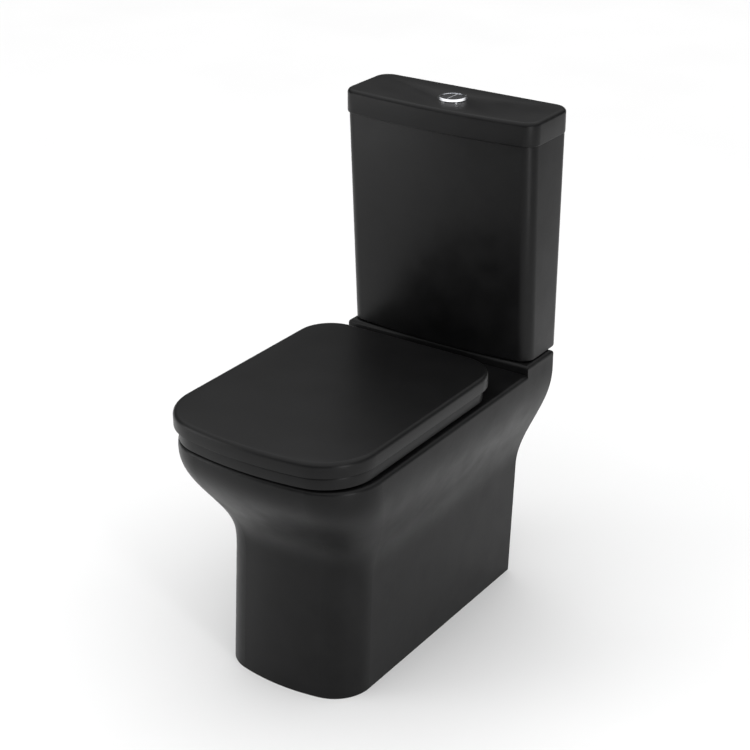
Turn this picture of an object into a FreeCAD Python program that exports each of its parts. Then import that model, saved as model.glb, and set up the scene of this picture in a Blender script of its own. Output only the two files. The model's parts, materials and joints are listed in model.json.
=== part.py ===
import FreeCAD, Part
import math
import os
import Sketcher

# A close coupled toilet: a back-to-wall style pan with a squared seat and lid, and a slim
# cistern standing on the shelf behind them. Millimetres, +Z up, the front faces -Y and +X is
# to the right of someone who faces the front. The origin is on the floor, halfway between the
# wall line behind the cistern and the front edge of the seat lid, on the centre line.

# ---------------------------------------------------------------------------------------
# Driving sizes
# ---------------------------------------------------------------------------------------
SIZES = {
    # overall
    "overall_depth": 650.0,
    "rim_level": 414.0,
    "cistern_top": 845.0,
    # pan, outside
    "rim_width": 360.0,
    "foot_width": 252.0,
    "waist_width": 249.0,
    "rim_setback": 11.0,
    "foot_setback": 81.0,
    "waist_setback": 95.0,
    "shelf_gap": 24.0,
    "foot_gap": 58.0,
    "side_flare_drop": 209.0,
    "side_flare_span": 184.0,
    "front_flare_drop": 179.0,
    "front_flare_span": 165.0,
    "foot_bow": 24.0,
    "foot_corner": 66.0,
    "rim_bow": 26.0,
    "rim_corner": 92.0,
    "rim_round": 7.0,
    "shelf_step": 16.0,
    "shelf_front": 110.0,
    "ceramic_wall": 12.0,
    "cut_margin": 2.0,
    "deck_thickness": 16.0,
    # pan, bowl and waterways
    "bowl_width": 256.0,
    "bowl_back": 250.0,
    "rim_ledge": 46.0,
    "sump_width": 76.0,
    "sump_back": 340.0,
    "sump_front": 425.0,
    "sump_floor": 85.0,
    "trap_radius": 36.0,
    "trap_wall": 15.0,
    "trap_dip": 121.0,
    "trap_crest_drop": 150.0,
    "trap_crest_back": 228.0,
    "trap_fall_back": 140.0,
    "outlet_level": 185.0,
    "outlet_gap": 12.0,
    "trap_entry_ease": 5.0,
    "trap_crest_ease": 1.0,
    "trap_fall_ease": 8.0,
    "duct_radius": 22.0,
    "duct_ease": 2.0,
    "duct_drop": 68.0,
    # cistern
    "tank_gap": 3.0,
    "tank_top_width": 354.0,
    "tank_foot_width": 350.0,
    "tank_top_depth": 133.0,
    "tank_foot_depth": 116.0,
    "tank_bow": 13.0,
    "tank_corner": 24.0,
    "tank_back_corner": 24.0,
    "back_trim": 1.0,
    "tank_wall": 10.0,
    "tank_floor": 13.0,
    "lid_height": 39.0,
    "lid_overhang": 3.0,
    "lid_round": 7.0,
    "lid_roof": 10.0,
    "lip_depth": 8.0,
    "lip_wall": 6.0,
    "lip_clearance": 2.0,
    # coupling between cistern and pan
    "valve_back": 66.0,
    "outlet_thread_radius": 20.0,
    "valve_nut_radius": 29.0,
    "doughnut_radius": 37.0,
    "doughnut_clearance": 1.5,
    "recess_depth": 22.0,
    "coupling_spacing": 144.0,
    "coupling_bolt_radius": 4.0,
    "coupling_hole_radius": 6.0,
    # buttons
    "button_back": 71.0,
    "bezel_flange": 4.5,
    "sleeve_radius": 20.0,
    "sleeve_wall": 2.2,
    "button_gap": 0.4,
    "button_height": 12.0,
    "bezel_height": 4.0,
    "sleeve_drop": 18.0,
    "rod_radius": 2.0,
    "rod_spacing": 23.0,
    # flush valve
    "basket_radius": 29.0,
    "basket_height": 178.0,
    "basket_wall": 3.0,
    "overflow_radius": 9.5,
    "overflow_wall": 1.8,
    "rocker_rise": 81.0,
    "rocker_arm": 8.0,
    "rocker_lift_arm": 20.0,
    "rocker_thickness": 5.0,
    "rocker_width": 5.0,
    "rocker_spacing": 26.0,
    "pin_radius": 2.0,
    "running_clearance": 0.05,
    "piece_clearance": 1.0,
    # fill valve
    "inlet_offset": 116.0,
    "inlet_thread_radius": 10.48,
    "inlet_shank_radius": 11.5,
    "inlet_tail": 52.0,
    "inlet_flange": 6.0,
    "inlet_nut_rim": 7.0,
    "inlet_hole_radius": 24.0,
    "riser_radius": 9.0,
    "riser_bore": 5.5,
    "riser_height": 270.0,
    "float_radius": 27.0,
    "float_height": 62.0,
    "float_rise": 154.0,
    "float_arm_length": 43.0,
    "float_arm_rise": 5.5,
    "head_radius": 16.0,
    "head_height": 24.0,
    # seat and lid
    "seat_lift": 5.0,
    "seat_thickness": 20.0,
    "seat_inset": 7.0,
    "seat_back": 200.0,
    "seat_lid_gap": 2.0,
    "seat_lid_height": 24.0,
    "seat_lid_width": 356.0,
    "seat_lid_back": 192.0,
    "seat_lid_wall": 7.0,
    "seat_lid_roof": 8.0,
    "seat_lid_round": 8.0,
    "seat_back_corner": 62.0,
    "seat_hole_width": 218.0,
    "seat_hole_front": 585.0,
    "seat_hole_back": 290.0,
    "hinge_back": 186.0,
    "hinge_rise": 5.0,
    "hinge_spacing": 155.0,
    "hinge_radius": 9.0,
    "hinge_pin_radius": 4.0,
    "hinge_post_width": 16.0,
    "hinge_lug_width": 14.0,
    "hinge_side_gap": 1.0,
    "hinge_bolt_radius": 4.0,
    "hinge_hole_radius": 8.0,
    "buffer_radius": 9.0,
}

doc = FreeCAD.newDocument("close_coupled_toilet")
sheet = doc.addObject("Spreadsheet::Sheet", "Sizes")
for row, (alias, number) in enumerate(SIZES.items(), start=1):
    sheet.set(f"A{row}", alias)
    sheet.set(f"B{row}", str(number))
    sheet.setAlias(f"B{row}", alias)
doc.recompute()


class Length:
    """A length that carries its number and the formula that ties it to the sheet."""

    def __init__(self, number, formula):
        self.number = number
        self.formula = formula

    def __add__(self, other):
        other = as_length(other)
        return Length(self.number + other.number, f"({self.formula} + {other.formula})")

    def __sub__(self, other):
        other = as_length(other)
        return Length(self.number - other.number, f"({self.formula} - {other.formula})")

    def __mul__(self, other):
        other = as_length(other)
        return Length(self.number * other.number, f"({self.formula} * {other.formula})")

    def __truediv__(self, other):
        other = as_length(other)
        return Length(self.number / other.number, f"({self.formula} / {other.formula})")

    def __radd__(self, other):
        return as_length(other) + self

    def __rsub__(self, other):
        return as_length(other) - self

    def __rmul__(self, other):
        return as_length(other) * self

    def __neg__(self):
        return as_length(0) - self


def as_length(value):
    """A plain number as a Length; a Length is returned as it is."""
    if isinstance(value, Length):
        return value
    return Length(float(value), f"({float(value)!r})")


def size(alias):
    """One cell of the sheet."""
    return Length(SIZES[alias], f"Sizes.{alias}")


def bind(thing, path, length):
    """Tie one property of an object to the sheet."""
    thing.setExpression(path, as_length(length).formula)


# ---------------------------------------------------------------------------------------
# Sizes worked out from the driving ones
# ---------------------------------------------------------------------------------------
WALL = size("overall_depth") / 2
SIDE_FLARE_START = size("rim_level") - size("side_flare_drop")
FRONT_FLARE_START = size("rim_level") - size("front_flare_drop")
TRAP_CREST = size("rim_level") - size("trap_crest_drop")
DUCT_LEVEL = size("rim_level") - size("duct_drop")


def from_wall(distance):
    """The Y of a point that stands this far in front of the wall line."""
    return WALL - distance


SHELF_LEVEL = size("rim_level") + size("shelf_step")
DECK_UNDERSIDE = size("rim_level") - size("deck_thickness")
TANK_FOOT = SHELF_LEVEL + size("tank_gap")
TANK_FLOOR = TANK_FOOT + size("tank_floor")
TANK_TOP = size("cistern_top") - size("lid_height")
LID_UNDERSIDE = size("cistern_top") - size("lid_roof")
SEAT_UNDERSIDE = size("rim_level") + size("seat_lift")
SEAT_TOP = SEAT_UNDERSIDE + size("seat_thickness")
SEAT_LID_FOOT = SEAT_TOP + size("seat_lid_gap")
SEAT_LID_TOP = SEAT_LID_FOOT + size("seat_lid_height")
SEAT_LID_ROOF = SEAT_LID_TOP - size("seat_lid_roof")
HINGE_LEVEL = SEAT_TOP + size("hinge_rise")
BASKET_TOP = TANK_FLOOR + size("basket_height")
ROCKER_LEVEL = BASKET_TOP + size("rocker_rise")
VALVE_Y = from_wall(size("valve_back"))
BUTTON_Y = from_wall(size("button_back"))
HINGE_Y = from_wall(size("hinge_back"))

nodes = []


def keep(thing):
    """List a finished sub-part; its label is the name of its file."""
    nodes.append(thing)
    return thing


# ---------------------------------------------------------------------------------------
# Bodies and sketches
# ---------------------------------------------------------------------------------------
def new_body(label, x=0, y=0, z=0):
    piece = doc.addObject("PartDesign::Body", label)
    piece.Label = label
    bind(piece, "Placement.Base.x", x)
    bind(piece, "Placement.Base.y", y)
    bind(piece, "Placement.Base.z", z)
    return keep(piece)


def sketch_on(piece, name, role, offset=0):
    """A sketch on one of the body's own origin planes, moved along the plane's normal."""
    sketch = piece.newObject("Sketcher::SketchObject", name)
    plane = [feature for feature in piece.Origin.OriginFeatures if feature.Role == role][0]
    sketch.AttachmentSupport = [(plane, "")]
    sketch.MapMode = "FlatFace"
    bind(sketch, "AttachmentOffset.Base.z", offset)
    return sketch


def dimension(sketch, kind, *where, length):
    """A driving dimension tied to the sheet."""
    length = as_length(length)
    index = sketch.addConstraint(Sketcher.Constraint(kind, *where, length.number))
    bind(sketch, f"Constraints[{index}]", length)


def place_point(sketch, geometry, end, x, y):
    dimension(sketch, "DistanceX", -1, 1, geometry, end, length=x)
    dimension(sketch, "DistanceY", -1, 1, geometry, end, length=y)


def draw_circle(sketch, x, y, radius):
    x, y, radius = as_length(x), as_length(y), as_length(radius)
    centre = FreeCAD.Vector(x.number, y.number, 0)
    circle = Part.Circle(centre, FreeCAD.Vector(0, 0, 1), radius.number)
    index = sketch.addGeometry(circle, False)
    place_point(sketch, index, 3, x, y)
    dimension(sketch, "Radius", index, length=radius)


def draw_polygon(sketch, points, closed=True):
    """Straight runs through the points, each point tied to the sheet."""
    points = [(as_length(x), as_length(y)) for x, y in points]
    vectors = [FreeCAD.Vector(x.number, y.number, 0) for x, y in points]
    ends = vectors[1:] + vectors[:1] if closed else vectors[1:]
    lines = [sketch.addGeometry(Part.LineSegment(a, b), False) for a, b in zip(vectors, ends)]
    for before, after in zip(lines, lines[1:]):
        sketch.addConstraint(Sketcher.Constraint("Coincident", before, 2, after, 1))
    if closed:
        sketch.addConstraint(Sketcher.Constraint("Coincident", lines[-1], 2, lines[0], 1))
    for line, (x, y) in zip(lines, points):
        place_point(sketch, line, 1, x, y)
    if not closed:
        place_point(sketch, lines[-1], 2, *points[-1])
    return lines


def draw_rectangle(sketch, left, right, low, high):
    draw_polygon(sketch, [(left, low), (right, low), (right, high), (left, high)])


def arc(centre_x, centre_y, radius, start, end):
    circle = Part.Circle(FreeCAD.Vector(centre_x, centre_y, 0), FreeCAD.Vector(0, 0, 1), radius)
    return Part.ArcOfCircle(circle, start, end)


def draw_bowed_outline(sketch, half, back, front, bow, corner, back_corner=None):
    """A closed outline symmetric about the Y axis: a flat back, straight sides, and a front
    that bows forwards and runs into the sides through round corners. The back corners are
    square, or round when back_corner is given."""
    half, back, front, bow, corner = map(as_length, (half, back, front, bow, corner))
    bow_radius = (half * half + bow * bow) / (2 * bow)
    reach = math.sqrt((bow_radius.number - corner.number) ** 2 - (half.number - corner.number) ** 2)
    bow_y = front.number + bow_radius.number
    corner_y = bow_y - reach
    corner_x = half.number - corner.number
    tilt = math.atan2(corner_y - bow_y, corner_x)
    back_round = 0.0 if back_corner is None else as_length(back_corner).number

    def point(x, y):
        return FreeCAD.Vector(x, y, 0)

    side = half.number
    top = back.number
    pieces = [
        Part.LineSegment(point(side - back_round, top), point(-side + back_round, top)),
        Part.LineSegment(point(-side, top - back_round), point(-side, corner_y)),
        arc(-corner_x, corner_y, corner.number, math.pi, math.pi - tilt),
        arc(0.0, bow_y, bow_radius.number, -math.pi - tilt, tilt),
        arc(corner_x, corner_y, corner.number, tilt, 0.0),
        Part.LineSegment(point(side, corner_y), point(side, top - back_round)),
    ]
    back_line, left, left_corner, front_arc, right_corner, right = (
        sketch.addGeometry(piece, False) for piece in pieces
    )
    rules = [
        ("Tangent", left, 2, left_corner, 1),
        ("Tangent", left_corner, 2, front_arc, 1),
        ("Tangent", front_arc, 2, right_corner, 1),
        ("Tangent", right_corner, 2, right, 1),
        ("Vertical", left),
        ("Vertical", right),
        ("Equal", left_corner, right_corner),
        ("PointOnObject", front_arc, 3, -2),
        ("Symmetric", left, 1, right, 2, -2),
    ]
    if back_corner is None:
        rules.append(("Coincident", back_line, 2, left, 1))
        rules.append(("Coincident", right, 2, back_line, 1))
    else:
        turn = math.pi / 2
        near = sketch.addGeometry(arc(side - back_round, top - back_round, back_round, 0.0, turn), False)
        far = sketch.addGeometry(
            arc(-side + back_round, top - back_round, back_round, turn, math.pi), False
        )
        rules.append(("Tangent", right, 2, near, 1))
        rules.append(("Tangent", near, 2, back_line, 1))
        rules.append(("Tangent", back_line, 2, far, 1))
        rules.append(("Tangent", far, 2, left, 1))
        rules.append(("Equal", near, far))
    for rule in rules:
        sketch.addConstraint(Sketcher.Constraint(*rule))
    if back_corner is not None:
        dimension(sketch, "Radius", near, length=back_corner)
    dimension(sketch, "DistanceY", -1, 1, back_line, 1, length=back)
    dimension(sketch, "DistanceX", -1, 1, right, 1, length=half)
    dimension(sketch, "Radius", right_corner, length=corner)
    dimension(sketch, "Radius", front_arc, length=bow_radius)
    dimension(sketch, "DistanceY", -1, 1, front_arc, 3, length=front + bow_radius)
    return sketch


def draw_path(sketch, points, radii):
    """A pipe's centre line: straight runs between the points, joined by tangent arcs."""
    guides = draw_polygon(sketch, points, closed=False)
    corners = [FreeCAD.Vector(as_length(x).number, as_length(y).number, 0) for x, y in points]
    ways = [(b - a).normalize() for a, b in zip(corners, corners[1:])]
    starts = corners[:1]
    stops = []
    arcs = []
    for corner, inward, outward, radius in zip(corners[1:], ways, ways[1:], radii):
        reach = radius.number * math.tan(inward.getAngle(outward) / 2)
        stops.append(corner - inward * reach)
        starts.append(corner + outward * reach)
        turn = math.copysign(1.0, inward.cross(outward).z)
        middle = stops[-1] + FreeCAD.Vector(-inward.y, inward.x, 0) * radius.number * turn
        first, last = (stops[-1], starts[-1]) if turn > 0 else (starts[-1], stops[-1])
        angles = [math.atan2(end.y - middle.y, end.x - middle.x) for end in (first, last)]
        if angles[1] < angles[0]:
            angles[1] += 2 * math.pi
        arcs.append((arc(middle.x, middle.y, radius.number, *angles), turn > 0))
    stops.append(corners[-1])
    runs = [sketch.addGeometry(Part.LineSegment(a, b), False) for a, b in zip(starts, stops)]
    bends = [sketch.addGeometry(shape, False) for shape, forwards in arcs]
    rules = [("Coincident", runs[0], 1, guides[0], 1), ("Coincident", runs[-1], 2, guides[-1], 2)]
    for run, guide in zip(runs[1:], guides[1:]):
        rules.append(("PointOnObject", run, 1, guide))
    for run, guide in zip(runs[:-1], guides[:-1]):
        rules.append(("PointOnObject", run, 2, guide))
    for before, bend, after, (shape, forwards) in zip(runs, bends, runs[1:], arcs):
        entry, leave = (1, 2) if forwards else (2, 1)
        rules.append(("Tangent", before, 2, bend, entry))
        rules.append(("Tangent", bend, leave, after, 1))
    for rule in rules:
        sketch.addConstraint(Sketcher.Constraint(*rule))
    for bend, radius in zip(bends, radii):
        dimension(sketch, "Radius", bend, length=radius)
    for guide in guides:
        sketch.toggleConstruction(guide)


# ---------------------------------------------------------------------------------------
# Features of a body
# ---------------------------------------------------------------------------------------
def pad(piece, sketch, length, downwards=False):
    feature = piece.newObject("PartDesign::Pad", f"{sketch.Name}_pad")
    feature.Profile = sketch
    feature.Reversed = downwards
    bind(feature, "Length", length)
    return feature


def pocket(piece, sketch, length, upwards=False, both_ways=False):
    """Cut against the sketch's normal, along it when upwards, or half each way."""
    feature = piece.newObject("PartDesign::Pocket", f"{sketch.Name}_pocket")
    feature.Profile = sketch
    feature.Reversed = upwards
    feature.Midplane = both_ways
    bind(feature, "Length", length)
    return feature


def loft(piece, kind, sketches):
    """Join outlines at rising levels: straight between two of them, fair through more."""
    feature = piece.newObject(f"PartDesign::{kind}Loft", f"{sketches[0].Name}_loft")
    feature.Profile = sketches[0]
    feature.Sections = sketches[1:]
    feature.Ruled = len(sketches) == 2
    return feature


def pipe(piece, kind, section, path):
    feature = piece.newObject(f"PartDesign::{kind}Pipe", f"{section.Name}_pipe")
    feature.Profile = section
    feature.Spine = path
    feature.Transition = "Round corner"
    return feature


def revolve(piece, sketch):
    feature = piece.newObject("PartDesign::Revolution", f"{sketch.Name}_turn")
    feature.Profile = sketch
    feature.ReferenceAxis = (sketch, ["V_Axis"])
    feature.Angle = 360
    return feature


def round_edges(piece, radius, wanted):
    """Fillet the edges of the body's last feature that the test picks."""
    doc.recompute()
    base = piece.Tip
    names = [
        f"Edge{number}"
        for number, edge in enumerate(base.Shape.Edges, start=1)
        if wanted(edge)
    ]
    feature = piece.newObject("PartDesign::Fillet", f"{base.Name}_round")
    feature.Base = (base, names)
    bind(feature, "Radius", radius)
    return feature


def lies_at(edge, level):
    """True for an edge that lies in the horizontal plane at this height."""
    box = edge.BoundBox
    return abs(box.ZMin - level.number) < 0.01 and abs(box.ZMax - level.number) < 0.01


# ---------------------------------------------------------------------------------------
# Pan
# ---------------------------------------------------------------------------------------
def eased(level, start, span):
    """How far the flare has opened at a level: 0 at the waist, 1 under the rim band."""
    share = min(max((level - start.number) / span.number, 0.0), 1.0)
    return share * share * (3 - 2 * share)


def pan_section(piece, name, level, inset, back=None):
    """The pan's outline at one level, drawn in by an inset for the hollow inside it."""
    side_flare = eased(level.number, SIDE_FLARE_START, size("side_flare_span"))
    front_flare = eased(level.number, FRONT_FLARE_START, size("front_flare_span"))
    waist = min(level.number / FRONT_FLARE_START.number, 1.0)
    half = (
        size("foot_width") * (1 - waist)
        + size("waist_width") * (waist - side_flare)
        + size("rim_width") * side_flare
    ) / 2
    setback = (
        size("foot_setback") * (1 - waist)
        + size("waist_setback") * (waist - front_flare)
        + size("rim_setback") * front_flare
    )
    front = from_wall(size("overall_depth") - setback) + inset
    bow = size("foot_bow") * (1 - front_flare) + size("rim_bow") * front_flare
    corner = size("foot_corner") * (1 - front_flare) + size("rim_corner") * front_flare
    if back is None:
        rise = level / SHELF_LEVEL
        back = from_wall(size("foot_gap") * (1 - rise) + size("shelf_gap") * rise)
    sketch = sketch_on(piece, name, "XY_Plane", level)
    return draw_bowed_outline(sketch, half - inset, back, front, bow, corner - inset)


def pan_levels(top):
    """Evenly spaced levels from the floor to the top, so that the skin runs fair."""
    steps = 16
    return [top * step / steps for step in range(steps + 1)]


def bowl_section(piece, name, share, wall):
    """The bowl's outline between the sump floor (share 0) and the rim (share 1)."""
    spread = math.sin(share * math.pi / 2) ** 0.8
    level = size("sump_floor") + (size("rim_level") - size("sump_floor")) * share
    half = (size("sump_width") * (1 - spread) + size("bowl_width") * spread) / 2 + wall
    back = from_wall(size("sump_back") * (1 - spread) + size("bowl_back") * spread) + wall
    mouth = size("overall_depth") - size("rim_setback") - size("rim_ledge")
    front = from_wall(size("sump_front") * (1 - share) + mouth * share) - wall
    bow = half * 0.3
    corner = half * 0.5
    if share == 0:
        level = level - wall
    if share == 1 and wall.number > 0:
        level = level - size("deck_thickness") / 2
    sketch = sketch_on(piece, name, "XY_Plane", level)
    return draw_bowed_outline(sketch, half, back, front, bow, corner, half * 0.4)


BOWL_SHARES = (0.0, 0.2, 0.4, 0.6, 0.8, 1.0)


def trap_path(piece, name):
    """The centre line of the trapway: from the sump, over the crest and out at the back."""
    sketch = sketch_on(piece, name, "YZ_Plane")
    start = (size("sump_front") + size("sump_back")) / 2 + size("trap_radius") / 2
    points = [
        (from_wall(start), size("trap_dip")),
        (from_wall(size("sump_back") - size("trap_wall")), size("trap_dip")),
        (from_wall(size("trap_crest_back")), TRAP_CREST),
        (from_wall(size("trap_fall_back")), size("outlet_level")),
        (from_wall(size("outlet_gap")), size("outlet_level")),
    ]
    bend = size("trap_radius") + size("trap_wall")
    eases = ("trap_entry_ease", "trap_crest_ease", "trap_fall_ease")
    draw_path(sketch, points, [bend + size(ease) for ease in eases])
    return sketch, start


def duct_path(piece, name):
    """The centre line of the flush duct: down from the cistern, then forward to the bowl."""
    sketch = sketch_on(piece, name, "YZ_Plane")
    points = [
        (VALVE_Y, size("rim_level")),
        (VALVE_Y, DUCT_LEVEL),
        (from_wall(size("bowl_back") + size("ceramic_wall") + size("duct_radius")), DUCT_LEVEL),
    ]
    draw_path(sketch, points, [size("duct_radius") + size("ceramic_wall") + size("duct_ease")])
    return sketch


def round_section(piece, name, role, offset, x, y, radius):
    sketch = sketch_on(piece, name, role, offset)
    draw_circle(sketch, x, y, radius)
    return sketch


def drill_down(piece, name, level, depth, spots, radius):
    """Round holes cut downwards from a level at each spot."""
    sketch = sketch_on(piece, name, "XY_Plane", level)
    for x, y in spots:
        draw_circle(sketch, x, y, radius)
    return pocket(piece, sketch, depth)


def build_pan():
    piece = new_body("pan")
    wall = size("ceramic_wall")
    outside = [
        pan_section(piece, f"pan_outside_{number}", level, as_length(0))
        for number, level in enumerate(pan_levels(SHELF_LEVEL))
    ]
    loft(piece, "Additive", outside)

    step = sketch_on(piece, "shelf_step", "XY_Plane", SHELF_LEVEL)
    shelf_front = from_wall(size("shelf_front"))
    draw_rectangle(step, -size("overall_depth"), size("overall_depth"), -size("overall_depth"), shelf_front)
    pocket(piece, step, size("shelf_step"))

    def on_top_outline(edge):
        box = edge.BoundBox
        behind_step = box.YMax > shelf_front.number + 1
        if lies_at(edge, SHELF_LEVEL):
            return behind_step or box.XLength > size("bowl_width").number
        return lies_at(edge, size("rim_level")) and not behind_step and box.YMin < shelf_front.number - 1

    round_edges(piece, size("rim_round"), on_top_outline)

    behind = from_wall(-size("ceramic_wall"))
    hollow_top = DECK_UNDERSIDE
    hollow = [
        pan_section(piece, f"pan_hollow_{number}", level, wall, behind)
        for number, level in enumerate(pan_levels(hollow_top))
    ]
    loft(piece, "Subtractive", hollow)

    loft(piece, "Additive", [
        bowl_section(piece, f"bowl_outside_{number}", share, wall)
        for number, share in enumerate(BOWL_SHARES)
    ])
    trap, trap_start = trap_path(piece, "trap_line")
    trap_outside = round_section(
        piece, "trap_outside", "XZ_Plane", trap_start - WALL, 0, size("trap_dip"),
        size("trap_radius") + size("trap_wall"),
    )
    pipe(piece, "Additive", trap_outside, trap)
    duct = duct_path(piece, "duct_line")
    duct_outside = round_section(
        piece, "duct_outside", "XY_Plane", size("rim_level"), 0, VALVE_Y, size("duct_radius") + wall
    )
    pipe(piece, "Additive", duct_outside, duct)

    loft(piece, "Subtractive", [
        bowl_section(piece, f"bowl_inside_{number}", share, as_length(0))
        for number, share in enumerate(BOWL_SHARES)
    ])
    trap_bore, _ = trap_path(piece, "trap_bore_line")
    trap_inside = round_section(
        piece, "trap_inside", "XZ_Plane", trap_start - WALL, 0, size("trap_dip"), size("trap_radius")
    )
    pipe(piece, "Subtractive", trap_inside, trap_bore)
    duct_bore = duct_path(piece, "duct_bore_line")
    duct_inside = round_section(
        piece, "duct_inside", "XY_Plane", size("rim_level"), 0, VALVE_Y, size("duct_radius")
    )
    pipe(piece, "Subtractive", duct_inside, duct_bore)

    recess_radius = size("doughnut_radius") + size("doughnut_clearance")
    drill_down(piece, "valve_recess", SHELF_LEVEL, size("recess_depth"), [(0, VALVE_Y)], recess_radius)
    through = size("shelf_step") + size("deck_thickness") + size("cut_margin")
    half = size("coupling_spacing") / 2
    drill_down(
        piece, "coupling_holes", SHELF_LEVEL, through, [(-half, VALVE_Y), (half, VALVE_Y)],
        size("coupling_hole_radius"),
    )
    inlet = size("inlet_offset")
    drill_down(
        piece, "inlet_holes", SHELF_LEVEL, through, [(-inlet, VALVE_Y), (inlet, VALVE_Y)],
        size("inlet_hole_radius"),
    )
    half = size("hinge_spacing") / 2
    drill_down(
        piece, "hinge_holes", size("rim_level"), size("deck_thickness") + size("cut_margin"),
        [(-half, HINGE_Y), (half, HINGE_Y)], size("hinge_hole_radius"),
    )



# ---------------------------------------------------------------------------------------
# Small helpers for turned and stacked pieces
# ---------------------------------------------------------------------------------------
def turned(label, x, y, outline):
    """A piece turned about its own upright axis, from its half outline of (radius, level)."""
    piece = new_body(label, x, y)
    sketch = sketch_on(piece, f"{label}_outline", "XZ_Plane")
    draw_polygon(sketch, outline)
    revolve(piece, sketch)
    return piece


def washer(label, x, y, low, high, bore, radius):
    """A flat ring: washer, seal or plain nut."""
    return turned(label, x, y, [(bore, low), (radius, low), (radius, high), (bore, high)])


def cylinder(name, radius, low, high, x, y):
    solid = doc.addObject("Part::Cylinder", name)
    bind(solid, "Radius", radius)
    bind(solid, "Height", high - low)
    bind(solid, "Placement.Base.x", x)
    bind(solid, "Placement.Base.y", y)
    bind(solid, "Placement.Base.z", low)
    return solid


def cross_cylinder(name, radius, left, right, y, z):
    """A cylinder that lies along X."""
    solid = doc.addObject("Part::Cylinder", name)
    bind(solid, "Radius", radius)
    bind(solid, "Height", right - left)
    solid.Placement = FreeCAD.Placement(
        FreeCAD.Vector(), FreeCAD.Rotation(FreeCAD.Vector(0, 1, 0), 90)
    )
    bind(solid, "Placement.Base.x", left)
    bind(solid, "Placement.Base.y", y)
    bind(solid, "Placement.Base.z", z)
    return solid


def hexagon(name, width, low, high, x, y):
    """A hexagonal prism, sized across its flats."""
    solid = doc.addObject("Part::Prism", name)
    solid.Polygon = 6
    bind(solid, "Circumradius", as_length(width) / math.sqrt(3))
    bind(solid, "Height", high - low)
    bind(solid, "Placement.Base.x", x)
    bind(solid, "Placement.Base.y", y)
    bind(solid, "Placement.Base.z", low)
    return solid


def block(name, left, right, front, back, low, high):
    solid = doc.addObject("Part::Box", name)
    bind(solid, "Length", right - left)
    bind(solid, "Width", back - front)
    bind(solid, "Height", high - low)
    bind(solid, "Placement.Base.x", left)
    bind(solid, "Placement.Base.y", front)
    bind(solid, "Placement.Base.z", low)
    return solid


def fused(name, *solids):
    joined = doc.addObject("Part::MultiFuse", name)
    joined.Shapes = list(solids)
    return joined


def cut(name, base, tool):
    rest = doc.addObject("Part::Cut", name)
    rest.Base = base
    rest.Tool = tool
    return rest


def group(label, solids):
    """Identical pieces that share one node as separate solids."""
    gathered = doc.addObject("Part::Compound", label)
    gathered.Links = list(solids)
    gathered.Label = label
    return keep(gathered)


def whole(thing, label):
    thing.Label = label
    return keep(thing)


def both_sides(distance):
    """The two mirrored X places of a pair, with a word for each."""
    return [("left", -distance), ("right", as_length(distance))]


# ---------------------------------------------------------------------------------------
# Cistern
# ---------------------------------------------------------------------------------------
def tank_section(piece, name, level, inset, back):
    rise = (level - TANK_FOOT) / (TANK_TOP - TANK_FOOT)
    half = (size("tank_foot_width") * (1 - rise) + size("tank_top_width") * rise) / 2 - inset
    depth = size("tank_foot_depth") * (1 - rise) + size("tank_top_depth") * rise
    sketch = sketch_on(piece, name, "XY_Plane", level)
    return draw_bowed_outline(
        sketch, half, back, from_wall(depth) + inset, size("tank_bow"),
        size("tank_corner") - inset, size("tank_back_corner") - inset,
    )


def build_tank():
    piece = new_body("cistern_tank")
    nothing = as_length(0)
    wall = size("tank_wall")
    rough_back = WALL + size("back_trim")
    loft(piece, "Additive", [
        tank_section(piece, "tank_outside_foot", TANK_FOOT, nothing, rough_back),
        tank_section(piece, "tank_outside_top", TANK_TOP, nothing, rough_back),
    ])
    margin = size("cut_margin")
    flat_back = sketch_on(piece, "flat_back", "XZ_Plane", -WALL)
    reach = size("tank_top_width")
    draw_rectangle(flat_back, -reach, reach, TANK_FOOT - margin, TANK_TOP + margin)
    pocket(piece, flat_back, size("back_trim") * 2)
    loft(piece, "Subtractive", [
        tank_section(piece, "tank_inside_foot", TANK_FLOOR, wall, WALL - wall),
        tank_section(piece, "tank_inside_top", TANK_TOP, wall, WALL - wall),
    ])
    depth = size("tank_floor") + margin
    slack = size("piece_clearance")
    drill_down(
        piece, "outlet_hole", TANK_FLOOR, depth, [(0, VALVE_Y)], size("outlet_thread_radius") + slack
    )
    drill_down(
        piece, "inlet_hole", TANK_FLOOR, depth, [(-size("inlet_offset"), VALVE_Y)],
        size("inlet_shank_radius") + slack,
    )
    half = size("coupling_spacing") / 2
    drill_down(
        piece, "bolt_holes", TANK_FLOOR, depth, [(-half, VALVE_Y), (half, VALVE_Y)],
        size("coupling_hole_radius"),
    )


def lid_outline(piece, name, level, inset):
    half = size("tank_top_width") / 2 + size("lid_overhang") - inset
    front = from_wall(size("tank_top_depth") + size("lid_overhang")) + inset
    corner = size("tank_corner") + size("lid_overhang") - inset
    back_corner = size("tank_back_corner") + size("lid_overhang") - inset
    sketch = sketch_on(piece, name, "XY_Plane", level)
    return draw_bowed_outline(
        sketch, half, WALL - inset, front, size("tank_bow"), corner, back_corner
    )


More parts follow.
